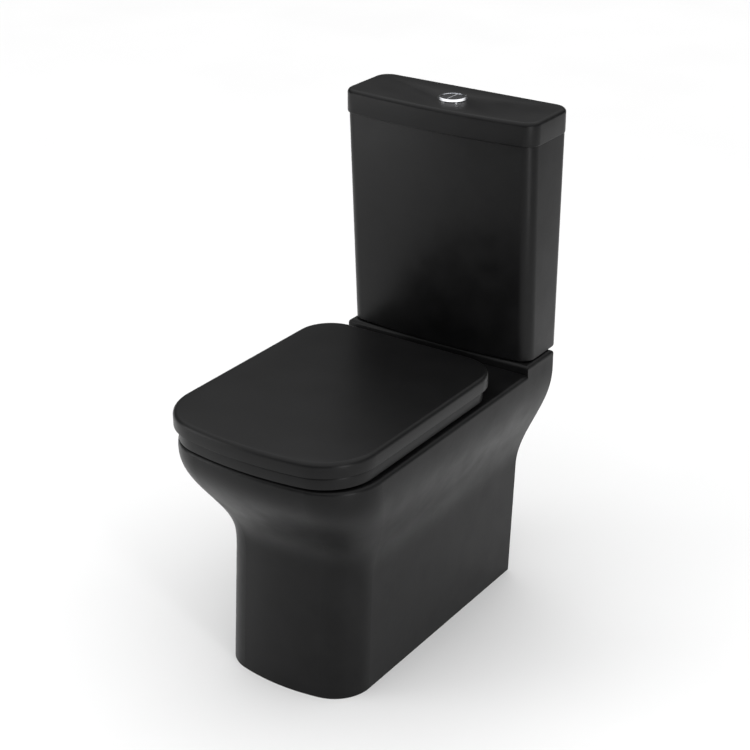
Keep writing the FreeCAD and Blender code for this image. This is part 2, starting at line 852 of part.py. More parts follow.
def build_cistern_lid():
    piece = new_body("cistern_lid")
    pad(piece, lid_outline(piece, "lid_outside", TANK_TOP, as_length(0)), size("lid_height"))
    round_edges(piece, size("lid_round"), lambda edge: lies_at(edge, size("cistern_top")))
    lip = size("lid_overhang") + size("tank_wall") + size("lip_clearance")
    pad(piece, lid_outline(piece, "lid_lip", TANK_TOP, lip), size("lip_depth"), downwards=True)
    hollow = lid_outline(piece, "lid_hollow", TANK_TOP - size("lip_depth"), lip + size("lip_wall"))
    depth = size("lip_depth") + size("lid_height") - size("lid_roof")
    pocket(piece, hollow, depth, upwards=True)
    drill_down(
        piece, "button_hole", size("cistern_top"), size("lid_roof") + size("cut_margin"), [(0, BUTTON_Y)],
        size("sleeve_radius") + size("piece_clearance") / 2,
    )


# ---------------------------------------------------------------------------------------
# Push buttons
# ---------------------------------------------------------------------------------------
SLEEVE_BORE = size("sleeve_radius") - size("sleeve_wall")
BEZEL_RADIUS = size("sleeve_radius") + size("bezel_flange")
BEZEL_TOP = size("cistern_top") + size("bezel_height")
BUTTON_TOP = BEZEL_TOP - size("button_gap") * 2
BUTTON_FOOT = BUTTON_TOP - size("button_height")
PIVOT_Y = VALVE_Y - size("rocker_thickness") - size("piece_clearance")
ROD_Y = PIVOT_Y - size("rocker_arm")
ROD_FOOT = ROCKER_LEVEL + size("rocker_thickness") / 2 + size("piece_clearance") * 3


def build_bezel():
    """The chrome ring on the lid and the threaded sleeve that hangs from it."""
    top = size("cistern_top")
    crown = size("sleeve_wall") * 1.5
    turned("button_bezel", 0, BUTTON_Y, [
        (SLEEVE_BORE, LID_UNDERSIDE - size("sleeve_drop")),
        (size("sleeve_radius"), LID_UNDERSIDE - size("sleeve_drop")),
        (size("sleeve_radius"), top),
        (BEZEL_RADIUS, top),
        (BEZEL_RADIUS, top + size("bezel_height") / 4),
        (BEZEL_RADIUS - crown / 2, BEZEL_TOP - size("bezel_height") / 4),
        (BEZEL_RADIUS - crown, BEZEL_TOP),
        (SLEEVE_BORE, BEZEL_TOP),
    ])
    washer(
        "button_nut", 0, BUTTON_Y, LID_UNDERSIDE - size("lip_depth"), LID_UNDERSIDE,
        size("sleeve_radius") + size("piece_clearance") / 4, BEZEL_RADIUS + size("basket_wall"),
    )


def build_button(label, side):
    """One half of the round button, with its dished top edge rounded."""
    piece = new_body(label, 0, BUTTON_Y)
    sketch = sketch_on(piece, f"{label}_outline", "XY_Plane", BUTTON_FOOT)
    radius = SLEEVE_BORE - size("button_gap")
    flat = size("button_gap")
    rise = math.asin(flat.number / radius.number)
    reach = radius.number * math.cos(rise)
    start = -math.pi / 2 + rise if side > 0 else math.pi / 2 + rise
    stop = start + math.pi - 2 * rise
    bend = sketch.addGeometry(arc(0.0, 0.0, radius.number, start, stop), False)
    chord_x = side * flat.number
    first = FreeCAD.Vector(chord_x, side * reach, 0)
    last = FreeCAD.Vector(chord_x, -side * reach, 0)
    line = sketch.addGeometry(Part.LineSegment(first, last), False)
    for rule in (
        ("Coincident", bend, 3, -1, 1),
        ("Coincident", bend, 2, line, 1),
        ("Coincident", line, 2, bend, 1),
        ("Vertical", line),
    ):
        sketch.addConstraint(Sketcher.Constraint(*rule))
    dimension(sketch, "Radius", bend, length=radius)
    dimension(sketch, "DistanceX", -1, 1, line, 1, length=flat * side)
    pad(piece, sketch, size("button_height"))
    round_edges(piece, size("button_gap") * 2, lambda edge: lies_at(edge, BUTTON_TOP))


def build_buttons():
    half = size("rod_spacing") / 2
    for flush, side in (("half", -1), ("full", 1)):
        build_button(f"{flush}_flush_button", side)
        rod = cylinder(
            f"{flush}_rod_shaft", size("rod_radius"), ROD_FOOT, BUTTON_FOOT, half * side, ROD_Y
        )
        whole(rod, f"{flush}_flush_rod")


# ---------------------------------------------------------------------------------------
# Flush valve
# ---------------------------------------------------------------------------------------
SEAL_THICKNESS = size("basket_wall") * 0.8
VALVE_SEAT = TANK_FLOOR + SEAL_THICKNESS + size("basket_wall")
TAIL_BORE = size("outlet_thread_radius") - size("basket_wall")
ROCKER_X = size("rocker_spacing") / 2
EAR_FOOT = ROCKER_LEVEL + size("rocker_thickness") / 2 + size("piece_clearance") * 2


def build_flush_valve():
    wall = size("basket_wall")
    thread = size("outlet_thread_radius")
    outer = size("basket_radius")
    tube_hole = size("overflow_radius") + size("piece_clearance")
    flange = TANK_FLOOR + SEAL_THICKNESS
    basket = turned("flush_valve_basket", 0, VALVE_Y, [
        (TAIL_BORE, TANK_FOOT - size("recess_depth") * 0.8),
        (thread, TANK_FOOT - size("recess_depth") * 0.8),
        (thread, flange),
        (outer, flange),
        (outer, BASKET_TOP),
        (tube_hole, BASKET_TOP),
        (tube_hole, BASKET_TOP - wall),
        (outer - wall, BASKET_TOP - wall),
        (outer - wall, VALVE_SEAT),
        (TAIL_BORE, VALVE_SEAT),
    ])
    for name, role in (("front_windows", "XZ_Plane"), ("side_windows", "YZ_Plane")):
        window = sketch_on(basket, name, role)
        draw_rectangle(window, -outer / 2, outer / 2, VALVE_SEAT + wall * 2, BASKET_TOP - outer)
        pocket(basket, window, outer * 3, both_ways=True)
    cheek = size("rocker_spacing") / 2 + size("rocker_width") / 2 + size("piece_clearance")
    pivot = PIVOT_Y - VALVE_Y
    reach = size("rocker_thickness")
    for side, place in (("left", -cheek - wall), ("right", cheek)):
        upright = sketch_on(basket, f"{side}_upright", "YZ_Plane", place)
        draw_rectangle(
            upright, pivot - reach, pivot + reach, BASKET_TOP - wall, ROCKER_LEVEL + reach
        )
        pad(basket, upright, wall)
    axle = sketch_on(basket, "axle_hole", "YZ_Plane")
    draw_circle(axle, pivot, ROCKER_LEVEL, size("pin_radius") + size("running_clearance"))
    pocket(basket, axle, outer * 3, both_ways=True)

    washer(
        "flush_valve_inner_seal", 0, VALVE_Y, TANK_FLOOR, flange, thread + size("piece_clearance"),
        outer - wall,
    )
    washer(
        "flush_valve_back_nut", 0, VALVE_Y, TANK_FOOT - size("recess_depth") / 2, TANK_FOOT,
        thread + size("piece_clearance") / 4, size("valve_nut_radius"),
    )
    washer(
        "coupling_doughnut", 0, VALVE_Y, SHELF_LEVEL - size("recess_depth"), TANK_FOOT,
        size("valve_nut_radius") + size("piece_clearance"), size("doughnut_radius"),
    )


def build_overflow_tube():
    """The tube that lifts to flush: water passes down it if the cistern overfills."""
    disc_foot = VALVE_SEAT + SEAL_THICKNESS
    disc = size("basket_radius") - size("basket_wall") - size("piece_clearance") * 2
    bore = size("overflow_radius") - size("overflow_wall")
    ear_top = EAR_FOOT + size("basket_wall")
    tube = turned("overflow_tube", 0, VALVE_Y, [
        (bore, disc_foot),
        (disc, disc_foot),
        (disc, disc_foot + size("basket_wall")),
        (size("overflow_radius"), disc_foot + size("basket_wall")),
        (size("overflow_radius"), ear_top),
        (bore, ear_top),
    ])
    ear = sketch_on(tube, "lift_ear", "XY_Plane", EAR_FOOT)
    tip = PIVOT_Y - VALVE_Y + size("rocker_lift_arm")
    reach = size("rocker_thickness")
    outer = ROCKER_X + size("rocker_width") / 2
    draw_polygon(ear, [
        (bore + size("overflow_wall") / 2, 0),
        (outer, tip - reach),
        (outer, tip + reach / 2),
        (0, tip + reach / 2),
        (0, bore + size("overflow_wall") / 2),
    ])
    pad(tube, ear, size("basket_wall"))
    washer("flush_seal", 0, VALVE_Y, VALVE_SEAT, disc_foot, TAIL_BORE - size("basket_wall"), disc)


def build_rocker(flush, side):
    """A rocking lever: the button's rod presses its front end, its back end rises."""
    half = size("rocker_width") / 2
    centre = ROCKER_X * side
    level = ROCKER_LEVEL
    half_thickness = size("rocker_thickness") / 2
    front = PIVOT_Y - size("rocker_arm") - size("rod_radius")
    back = PIVOT_Y + size("rocker_lift_arm") + size("rod_radius")
    bar = block(
        f"{flush}_rocker_bar", centre - half, centre + half, front, back,
        level - half_thickness, level + half_thickness,
    )
    hub = cross_cylinder(
        f"{flush}_rocker_hub", size("pin_radius") * 2, centre - half, centre + half, PIVOT_Y, level
    )
    eye = cross_cylinder(
        f"{flush}_rocker_eye", size("pin_radius") + size("running_clearance"),
        centre - size("rocker_width"), centre + size("rocker_width"), PIVOT_Y, level,
    )
    whole(cut(f"{flush}_rocker_cut", fused(f"{flush}_rocker_solid", bar, hub), eye), f"{flush}_flush_rocker")


def build_rockers():
    for flush, side in (("half", -1), ("full", 1)):
        build_rocker(flush, side)
    inner = ROCKER_X - size("rocker_width") / 2
    outer = ROCKER_X + size("rocker_width") / 2 + size("piece_clearance") + size("basket_wall")
    pins = [
        cross_cylinder(f"{side}_axle", size("pin_radius"), left, right, PIVOT_Y, ROCKER_LEVEL)
        for side, left, right in (("left", -outer, -inner), ("right", inner, outer))
    ]
    group("rocker_axles", pins)


# ---------------------------------------------------------------------------------------
# Fill valve
# ---------------------------------------------------------------------------------------
INLET_X = -size("inlet_offset")
RISER_TOP = TANK_FLOOR + size("riser_height")
HEAD_FOOT = RISER_TOP - size("head_height")
FLOAT_FOOT = TANK_FLOOR + size("float_rise")
ARM_LEVEL = RISER_TOP + size("float_arm_rise")
ARM_PIVOT_X = INLET_X - size("head_radius") + size("pin_radius")
ARM_HALF = size("rocker_thickness") / 2


def build_fill_valve():
    thread = size("inlet_thread_radius")
    shank = size("inlet_shank_radius")
    bore = thread - size("basket_wall")
    flange = TANK_FLOOR + SEAL_THICKNESS
    nut_foot = TANK_FOOT - size("recess_depth") / 2
    shank_foot = nut_foot - size("piece_clearance")
    valve = turned("fill_valve", INLET_X, VALVE_Y, [
        (bore, TANK_FOOT - size("inlet_tail")),
        (thread, TANK_FOOT - size("inlet_tail")),
        (thread, shank_foot),
        (shank, shank_foot),
        (shank, flange),
        (thread + size("inlet_flange"), flange),
        (thread + size("inlet_flange"), flange + size("basket_wall") * 2),
        (size("riser_radius"), flange + size("basket_wall") * 3),
        (size("riser_radius"), HEAD_FOOT),
        (size("head_radius"), HEAD_FOOT),
        (size("head_radius"), RISER_TOP),
        (0, RISER_TOP),
        (0, HEAD_FOOT),
        (size("riser_bore"), HEAD_FOOT),
    ])
    pivot = ARM_PIVOT_X - INLET_X
    gap = ARM_HALF + size("piece_clearance")
    reach = size("pin_radius") * 2
    for name, place in (("front_ear", gap), ("back_ear", -gap - size("basket_wall"))):
        ear = sketch_on(valve, name, "XZ_Plane", place)
        draw_rectangle(
            ear, pivot - size("pin_radius"), pivot + reach, RISER_TOP - reach,
            ARM_LEVEL + reach,
        )
        pad(valve, ear, size("basket_wall"))
    axle = sketch_on(valve, "arm_axle_hole", "XZ_Plane")
    draw_circle(axle, pivot, ARM_LEVEL, size("pin_radius") / 2 + size("running_clearance"))
    pocket(valve, axle, size("head_radius") * 3, both_ways=True)
    washer(
        "fill_valve_inner_seal", INLET_X, VALVE_Y, TANK_FLOOR, flange,
        shank + size("piece_clearance"), thread + size("inlet_flange"),
    )
    washer(
        "fill_valve_back_nut", INLET_X, VALVE_Y, nut_foot, TANK_FOOT,
        shank + size("piece_clearance") / 4, thread + size("inlet_nut_rim"),
    )


def build_float():
    """A float cup that slides on the riser, with the link that lifts the arm."""
    outer = size("float_radius")
    sleeve = size("riser_radius") + size("piece_clearance")
    wall = size("basket_wall")
    top = FLOAT_FOOT + size("float_height")
    cup = turned("fill_valve_float", INLET_X, VALVE_Y, [
        (sleeve, FLOAT_FOOT),
        (sleeve + wall, FLOAT_FOOT),
        (sleeve + wall, top - wall),
        (outer - wall, top - wall),
        (outer - wall, FLOAT_FOOT),
        (outer, FLOAT_FOOT),
        (outer, top),
        (sleeve, top),
    ])
    link = sketch_on(cup, "link", "XY_Plane", top - wall)
    draw_circle(link, outer - wall, 0, size("rod_radius"))
    link_top = ARM_LEVEL - ARM_HALF - size("piece_clearance")
    pad(cup, link, link_top - top + wall)


def build_float_arm():
    level = ARM_LEVEL
    bar = block(
        "arm_bar", ARM_PIVOT_X - size("pin_radius"), ARM_PIVOT_X + size("float_arm_length"),
        VALVE_Y - ARM_HALF, VALVE_Y + ARM_HALF, level - ARM_HALF, level + ARM_HALF,
    )
    gap = ARM_HALF + size("piece_clearance") + size("basket_wall")
    pin_radius = size("pin_radius") / 2

    def cross_pin(name, radius, half):
        pin = cylinder(name, radius, as_length(0), half * 2, ARM_PIVOT_X, VALVE_Y)
        pin.Placement = FreeCAD.Placement(
            FreeCAD.Vector(), FreeCAD.Rotation(FreeCAD.Vector(1, 0, 0), -90)
        )
        bind(pin, "Placement.Base.y", VALVE_Y - half)
        bind(pin, "Placement.Base.z", level)
        return pin

    eye = cross_pin("arm_eye", pin_radius + size("running_clearance"), gap * 2)
    whole(cut("arm_with_eye", bar, eye), "fill_valve_arm")
    whole(cross_pin("arm_axle", pin_radius, gap), "fill_valve_arm_pin")


# ---------------------------------------------------------------------------------------
# Coupling bolts
# ---------------------------------------------------------------------------------------
def build_coupling():
    radius = size("coupling_bolt_radius")
    washer_thickness = size("basket_wall")
    head_foot = TANK_FLOOR + washer_thickness
    nut_top = DECK_UNDERSIDE - washer_thickness
    nut_foot = nut_top - radius * 2
    slack = size("piece_clearance") / 4
    bolts, seals, plates, nuts = [], [], [], []
    for side, x in both_sides(size("coupling_spacing") / 2):
        shank = cylinder(f"{side}_bolt_shank", radius, nut_foot - radius * 2, head_foot, x, VALVE_Y)
        head = hexagon(f"{side}_bolt_head", radius * 3.25, head_foot, head_foot + radius, x, VALVE_Y)
        bolts.append(fused(f"{side}_bolt", shank, head))
        for name, low, high, width, kept in (
            ("bolt_seal", TANK_FLOOR, head_foot, radius * 3.2, seals),
            ("bolt_plate", nut_top, DECK_UNDERSIDE, radius * 3, plates),
        ):
            disc = cylinder(f"{side}_{name}_disc", width, low, high, x, VALVE_Y)
            eye = cylinder(f"{side}_{name}_eye", radius + slack, low, high, x, VALVE_Y)
            kept.append(cut(f"{side}_{name}", disc, eye))
        hub = cylinder(f"{side}_nut_hub", radius * 1.9, nut_foot, nut_top, x, VALVE_Y)
        wings = block(
            f"{side}_nut_wings", x - radius * 4, x + radius * 4, VALVE_Y - radius / 2,
            VALVE_Y + radius / 2, nut_foot - radius, nut_top - radius / 2,
        )
        eye = cylinder(f"{side}_nut_eye", radius + slack, nut_foot - radius * 2, nut_top, x, VALVE_Y)
        nuts.append(cut(f"{side}_nut", fused(f"{side}_nut_solid", hub, wings), eye))
    group("coupling_bolts", bolts)
    group("coupling_bolt_seals", seals)
    group("coupling_plate_washers", plates)
    group("coupling_wing_nuts", nuts)


# ---------------------------------------------------------------------------------------
# Seat, lid and hinges
# ---------------------------------------------------------------------------------------
POST_HALF = size("hinge_post_width") / 2
SEAT_LUG_START = size("hinge_spacing") / 2 - POST_HALF - size("hinge_side_gap") - size("hinge_lug_width")
LID_LUG_START = size("hinge_spacing") / 2 + POST_HALF + size("hinge_side_gap")
LID_LUG_END = LID_LUG_START + size("hinge_lug_width")
PIN_BORE = size("hinge_pin_radius") + size("running_clearance")


def seat_outline(piece, name, level, inset, back):
    half = size("seat_lid_width") / 2 - inset
    front = from_wall(size("overall_depth")) + inset
    sketch = sketch_on(piece, name, "XY_Plane", level)
    return draw_bowed_outline(
        sketch, half, from_wall(back), front, size("rim_bow"), size("rim_corner") - inset,
        size("seat_back_corner") - inset,
    )


def add_lugs(piece, start, back, low, high):
    """A pair of hinge lugs: a web out of the piece, and a barrel about the hinge line."""
    width = size("hinge_lug_width")
    for side, place in (("left", -start - width), ("right", start)):
        web = sketch_on(piece, f"{piece.Name}_{side}_web", "YZ_Plane", place)
        draw_rectangle(web, from_wall(back), HINGE_Y, low, high)
        pad(piece, web, width)
        barrel = sketch_on(piece, f"{piece.Name}_{side}_barrel", "YZ_Plane", place)
        draw_circle(barrel, HINGE_Y, HINGE_LEVEL, size("hinge_radius"))
        pad(piece, barrel, width)
    bore = sketch_on(piece, f"{piece.Name}_bore", "YZ_Plane")
    draw_circle(bore, HINGE_Y, HINGE_LEVEL, PIN_BORE)
    pocket(piece, bore, size("seat_lid_width"), both_ways=True)


def build_seat():
    piece = new_body("seat_ring")
    inset = size("seat_inset")
    pad(piece, seat_outline(piece, "seat_outside", SEAT_UNDERSIDE, inset, size("seat_back")),
        size("seat_thickness"))
    hole = sketch_on(piece, "seat_hole", "XY_Plane", SEAT_TOP)
    half = size("seat_hole_width") / 2
    draw_bowed_outline(
        hole, half, from_wall(size("seat_hole_back")), from_wall(size("seat_hole_front")),
        size("rim_bow"), half * 0.62, half * 0.5,
    )
    pocket(piece, hole, size("seat_thickness") + 1)
    round_edges(piece, size("seat_lid_wall") * 0.7, lambda edge: lies_at(edge, SEAT_TOP))
    add_lugs(
        piece, SEAT_LUG_START, size("seat_back") + size("hinge_radius"),
        SEAT_UNDERSIDE + size("hinge_radius"), SEAT_TOP,
    )


def build_seat_lid():
    piece = new_body("seat_lid")
    wall = size("seat_lid_wall")
    outside = seat_outline(piece, "seat_lid_outside", SEAT_LID_FOOT, as_length(0), size("seat_lid_back"))
    pad(piece, outside, size("seat_lid_height"))
    round_edges(piece, size("seat_lid_round"), lambda edge: lies_at(edge, SEAT_LID_TOP))
    depth = size("seat_lid_height") - size("seat_lid_roof")
    inside = seat_outline(piece, "seat_lid_hollow", SEAT_LID_FOOT, wall, size("seat_lid_back") + wall)
    pocket(piece, inside, depth, upwards=True)
    notch = sketch_on(piece, "hinge_notches", "XY_Plane", SEAT_LID_FOOT)
    gap = size("hinge_side_gap")
    near = from_wall(size("seat_lid_back") + wall + 1)
    far = from_wall(size("seat_lid_back") - 1)
    start, end = SEAT_LUG_START - gap, LID_LUG_END + gap
    draw_rectangle(notch, -end, -start, near, far)
    draw_rectangle(notch, start, end, near, far)
    pocket(piece, notch, depth, upwards=True)
    add_lugs(
        piece, LID_LUG_START, size("seat_lid_back") + size("hinge_radius") * 1.5, SEAT_LID_FOOT,
        SEAT_LID_ROOF + 2,
    )


def build_hinge(side, x):
    """A chrome post on the deck, its pin, and the bolt, washer and nut below the deck."""
    piece = new_body(f"hinge_post_{side}", x, HINGE_Y)
    deck = size("rim_level")
    foot = sketch_on(piece, f"{side}_foot", "XY_Plane", deck)
    draw_circle(foot, 0, 0, size("hinge_radius") * 1.8)
    pad(piece, foot, size("seat_lift"))
    column = sketch_on(piece, f"{side}_column", "XY_Plane", deck)
    reach = size("hinge_radius") - size("hinge_side_gap")
    draw_rectangle(column, -POST_HALF, POST_HALF, -reach, reach)
    pad(piece, column, HINGE_LEVEL - deck)
    barrel = sketch_on(piece, f"{side}_barrel", "YZ_Plane", -POST_HALF)
    draw_circle(barrel, 0, HINGE_LEVEL, size("hinge_radius"))
    pad(piece, barrel, size("hinge_post_width"))
    bore = sketch_on(piece, f"{side}_pin_bore", "YZ_Plane")
    draw_circle(bore, 0, HINGE_LEVEL, PIN_BORE)
    pocket(piece, bore, size("hinge_post_width") * 2, both_ways=True)
    socket = sketch_on(piece, f"{side}_bolt_socket", "XY_Plane", deck)
    draw_circle(socket, 0, 0, size("hinge_bolt_radius") + size("running_clearance"))
    pocket(piece, socket, size("hinge_bolt_radius") * 3, upwards=True)

    near, far = (-LID_LUG_END, -SEAT_LUG_START) if side == "left" else (SEAT_LUG_START, LID_LUG_END)
    pin = cross_cylinder(f"{side}_hinge_pin", size("hinge_pin_radius"), near, far, HINGE_Y, HINGE_LEVEL)
    whole(pin, f"hinge_pin_{side}")


def build_seat_fixings():
    radius = size("hinge_bolt_radius")
    plate = size("basket_wall")
    nut_top = DECK_UNDERSIDE - plate
    nut_foot = nut_top - radius * 2
    bolts, washers, nuts = [], [], []
    for side, x in both_sides(size("hinge_spacing") / 2):
        bolts.append(cylinder(
            f"{side}_stud", radius, nut_foot - radius * 3, size("rim_level") + radius * 3, x, HINGE_Y
        ))
        disc = cylinder(f"{side}_fixing_disc", radius * 3.2, nut_top, DECK_UNDERSIDE, x, HINGE_Y)
        eye = cylinder(
            f"{side}_fixing_eye", radius + size("piece_clearance") / 4, nut_top, DECK_UNDERSIDE, x, HINGE_Y
        )
        washers.append(cut(f"{side}_fixing_washer", disc, eye))
        body = hexagon(f"{side}_nut_body", radius * 4, nut_foot, nut_top, x, HINGE_Y)
        thread = cylinder(
            f"{side}_nut_thread", radius + size("piece_clearance") / 4, nut_foot, nut_top, x, HINGE_Y
        )
        nuts.append(cut(f"{side}_fixing_nut", body, thread))
    group("seat_fixing_bolts", bolts)
    group("seat_fixing_washers", washers)
    group("seat_fixing_nuts", nuts)


def build_buffers():
    """Soft pads: four under the seat, four under the lid."""
    x_place = (size("seat_hole_width") + size("seat_lid_width")) / 4
    rests = [size("seat_hole_back") + size("buffer_radius"), size("seat_hole_front") - size("rim_corner") / 2]
    gap = size("piece_clearance") * 0.3
    for label, low, high in (
        ("seat_buffers", size("rim_level") + gap, SEAT_UNDERSIDE),
        ("seat_lid_buffers", SEAT_TOP + gap, SEAT_LID_ROOF),
    ):
        pads = [
            cylinder(f"{label}_{side}_{number}", size("buffer_radius"), low, high, x, from_wall(rest))
            for side, x in both_sides(x_place)
            for number, rest in enumerate(rests)
        ]
        group(label, pads)


build_pan()
build_tank()
build_cistern_lid()
build_bezel()
build_buttons()
build_flush_valve()
build_overflow_tube()
build_rockers()
build_fill_valve()
build_float()
build_float_arm()
build_coupling()
build_seat()
build_seat_lid()
for hinge_side, hinge_x in both_sides(size("hinge_spacing") / 2):
    build_hinge(hinge_side, hinge_x)
build_seat_fixings()
build_buffers()


# ---------------------------------------------------------------------------------------
# Check and write
# ---------------------------------------------------------------------------------------
doc.recompute()
for thing in doc.Objects:
    if "Invalid" in thing.State or "Error" in thing.State:
        raise RuntimeError(f"{thing.Name} failed: {thing.State} {thing.getStatusString()}")
for piece in nodes:
    if piece.Shape.isNull() or not piece.Shape.isValid():
        raise RuntimeError(f"{piece.Label} has no valid shape")

os.makedirs("parts", exist_ok=True)
for piece in nodes:
    piece.Shape.exportStep(f"parts/{piece.Label}.step")
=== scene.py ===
import json
import math

import bmesh
import bpy
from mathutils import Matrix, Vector


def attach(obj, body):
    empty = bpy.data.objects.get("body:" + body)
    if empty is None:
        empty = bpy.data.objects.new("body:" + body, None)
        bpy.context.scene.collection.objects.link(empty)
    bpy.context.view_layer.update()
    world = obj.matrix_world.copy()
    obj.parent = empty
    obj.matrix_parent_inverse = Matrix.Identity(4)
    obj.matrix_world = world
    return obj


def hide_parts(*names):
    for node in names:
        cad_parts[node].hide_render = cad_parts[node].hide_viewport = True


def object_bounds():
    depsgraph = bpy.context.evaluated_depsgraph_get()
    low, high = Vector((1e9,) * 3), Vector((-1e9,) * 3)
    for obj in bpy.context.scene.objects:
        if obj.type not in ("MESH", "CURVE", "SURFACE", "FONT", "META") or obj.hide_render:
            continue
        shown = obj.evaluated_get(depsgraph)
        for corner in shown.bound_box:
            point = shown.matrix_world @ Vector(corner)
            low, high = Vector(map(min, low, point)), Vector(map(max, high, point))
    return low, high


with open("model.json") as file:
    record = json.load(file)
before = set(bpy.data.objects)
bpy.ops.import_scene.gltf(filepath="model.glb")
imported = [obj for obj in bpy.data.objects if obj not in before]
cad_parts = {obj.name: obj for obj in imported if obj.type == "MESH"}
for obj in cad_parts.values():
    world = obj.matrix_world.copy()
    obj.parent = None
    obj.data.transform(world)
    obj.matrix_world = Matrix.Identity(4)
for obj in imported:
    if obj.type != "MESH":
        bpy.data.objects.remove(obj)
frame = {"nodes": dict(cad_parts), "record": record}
CAD_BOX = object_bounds()

# The looks of a close coupled toilet in matt black glaze: softened edges on the cistern, the seat
# and the hinge posts, procedural finishes on every piece, and the studio around it. Metres, in the
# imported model's frame.

MILLIMETRE = 0.001

# The span that most of a noise's values fall in.
NOISE_LOW = 0.35
NOISE_HIGH = 0.65

# The colour sockets of a Mix node, which share their names with its number and vector sockets.
MIX_FIRST = 6
MIX_SECOND = 7
MIX_RESULT = 2

# ---------------------------------------------------------------------------------------
# Finishes
# ---------------------------------------------------------------------------------------


def new_material(name):
    """An empty material with its shader, and the point on the object that patterns follow."""
    material = bpy.data.materials.new(name)
    material.use_nodes = True
    tree = material.node_tree
    tree.nodes.clear()
    output = tree.nodes.new("ShaderNodeOutputMaterial")
    shader = tree.nodes.new("ShaderNodeBsdfPrincipled")
    place = tree.nodes.new("ShaderNodeTexCoord")
    tree.links.new(shader.outputs["BSDF"], output.inputs["Surface"])
    return material, tree, shader, place.outputs["Object"]


def noise(tree, point, size, detail=3.0, stretch=(1, 1, 1)):
    """A noise whose features are about this many metres across, longer along a stretched axis."""
    mapping = tree.nodes.new("ShaderNodeMapping")
    mapping.inputs["Scale"].default_value = [1 / (size * share) for share in stretch]
    texture = tree.nodes.new("ShaderNodeTexNoise")
    texture.inputs["Scale"].default_value = 1.0
    texture.inputs["Detail"].default_value = detail
    tree.links.new(point, mapping.inputs["Vector"])
    tree.links.new(mapping.outputs["Vector"], texture.inputs["Vector"])
    return texture.outputs["Fac"]


def between(tree, share, low, high, start=NOISE_LOW, end=NOISE_HIGH):
    """A value that goes from low to high as the share goes from start to end."""
    span = tree.nodes.new("ShaderNodeMapRange")
    span.inputs["From Min"].default_value = start
    span.inputs["From Max"].default_value = end
    span.inputs["To Min"].default_value = low
    span.inputs["To Max"].default_value = high
    tree.links.new(share, span.inputs["Value"])
    return span.outputs["Result"]


def blend_colours(tree, share, first, second):
    """A colour that goes from the first to the second as the share goes from 0 to 1."""
    mix = tree.nodes.new("ShaderNodeMix")
    mix.data_type = "RGBA"
    mix.inputs[MIX_FIRST].default_value = (*first, 1)
    mix.inputs[MIX_SECOND].default_value = (*second, 1)
    tree.links.new(share, mix.inputs["Factor"])
    return mix.outputs[MIX_RESULT]


def bump(tree, shader, heights):
    """Stacked bumps: each height is (noise, depth in metres)."""
    normal = None
    for height, depth in heights:
        node = tree.nodes.new("ShaderNodeBump")
        node.inputs["Distance"].default_value = depth
        tree.links.new(height, node.inputs["Height"])
        if normal is not None:
            tree.links.new(normal, node.inputs["Normal"])
        normal = node.outputs["Normal"]
    tree.links.new(normal, shader.inputs["Normal"])


def set_all(shader, **values):
    """Set shader sockets by name, with _ for each space."""
    for name, value in values.items():
        shader.inputs[name.replace("_", " ")].default_value = value


GLAZE_DARK = (0.0036, 0.0036, 0.0038)
GLAZE_LIGHT = (0.0056, 0.0056, 0.0058)
DUROPLAST_DARK = (0.0038, 0.0038, 0.0040)
DUROPLAST_LIGHT = (0.0056, 0.0056, 0.0058)
BLACK_GLOSS = 0.17


def glaze():
    """Matt black sanitary glaze: a faint mottle, an eggshell ripple and fine pin texture."""
    material, tree, shader, point = new_material("matt_black_glaze")
    mottle = noise(tree, point, 0.05, 4.0)
    ripple = noise(tree, point, 0.011, 2.0)
    pins = noise(tree, point, 0.0012, 2.0)
    colour = blend_colours(tree, between(tree, mottle, 0, 1), GLAZE_DARK, GLAZE_LIGHT)
    tree.links.new(colour, shader.inputs["Base Color"])
    tree.links.new(between(tree, mottle, 0.36, 0.43), shader.inputs["Roughness"])
    set_all(shader, Specular_IOR_Level=BLACK_GLOSS)
    bump(tree, shader, [(ripple, 0.00008), (pins, 0.00002)])
    return material


def duroplast():
    """Black moulded duroplast: smoother than the glaze, with a very fine moulded grain."""
    material, tree, shader, point = new_material("black_duroplast")
    cloud = noise(tree, point, 0.09, 3.0)
    grain = noise(tree, point, 0.0008, 2.0)
    colour = blend_colours(tree, between(tree, cloud, 0, 1), DUROPLAST_DARK, DUROPLAST_LIGHT)
    tree.links.new(colour, shader.inputs["Base Color"])
    tree.links.new(between(tree, grain, 0.34, 0.41), shader.inputs["Roughness"])
    set_all(shader, Specular_IOR_Level=BLACK_GLOSS)
    bump(tree, shader, [(cloud, 0.00012), (grain, 0.000012)])
    return material


def polished(name, colour, dull, rough, stretch):
    """A bright metal with fine polishing or drawing lines along the stretched axis."""
    material, tree, shader, point = new_material(name)
    cloud = noise(tree, point, 0.012, 3.0)
    lines = noise(tree, point, 0.0006, 2.0, stretch)
    shade = blend_colours(tree, between(tree, cloud, 0, 1), colour, dull)
    tree.links.new(shade, shader.inputs["Base Color"])
    tree.links.new(between(tree, lines, rough[0], rough[1]), shader.inputs["Roughness"])
    set_all(shader, Metallic=1.0)
    bump(tree, shader, [(lines, 0.000004)])
    return material


def moulded(name, colour, shade, rough, grain_size, glow=0.0):
    """A moulded plastic or rubber: a faint flow cloud and a fine grain."""
    material, tree, shader, point = new_material(name)
    cloud = noise(tree, point, 0.02, 3.0)
    grain = noise(tree, point, grain_size, 2.0)
    surface = blend_colours(tree, between(tree, cloud, 0, 1), colour, shade)
    tree.links.new(surface, shader.inputs["Base Color"])
    tree.links.new(between(tree, grain, rough[0], rough[1]), shader.inputs["Roughness"])
    set_all(shader, Subsurface_Weight=glow, Subsurface_Scale=0.002)
    bump(tree, shader, [(cloud, 0.00006), (grain, 0.00002)])
    return material


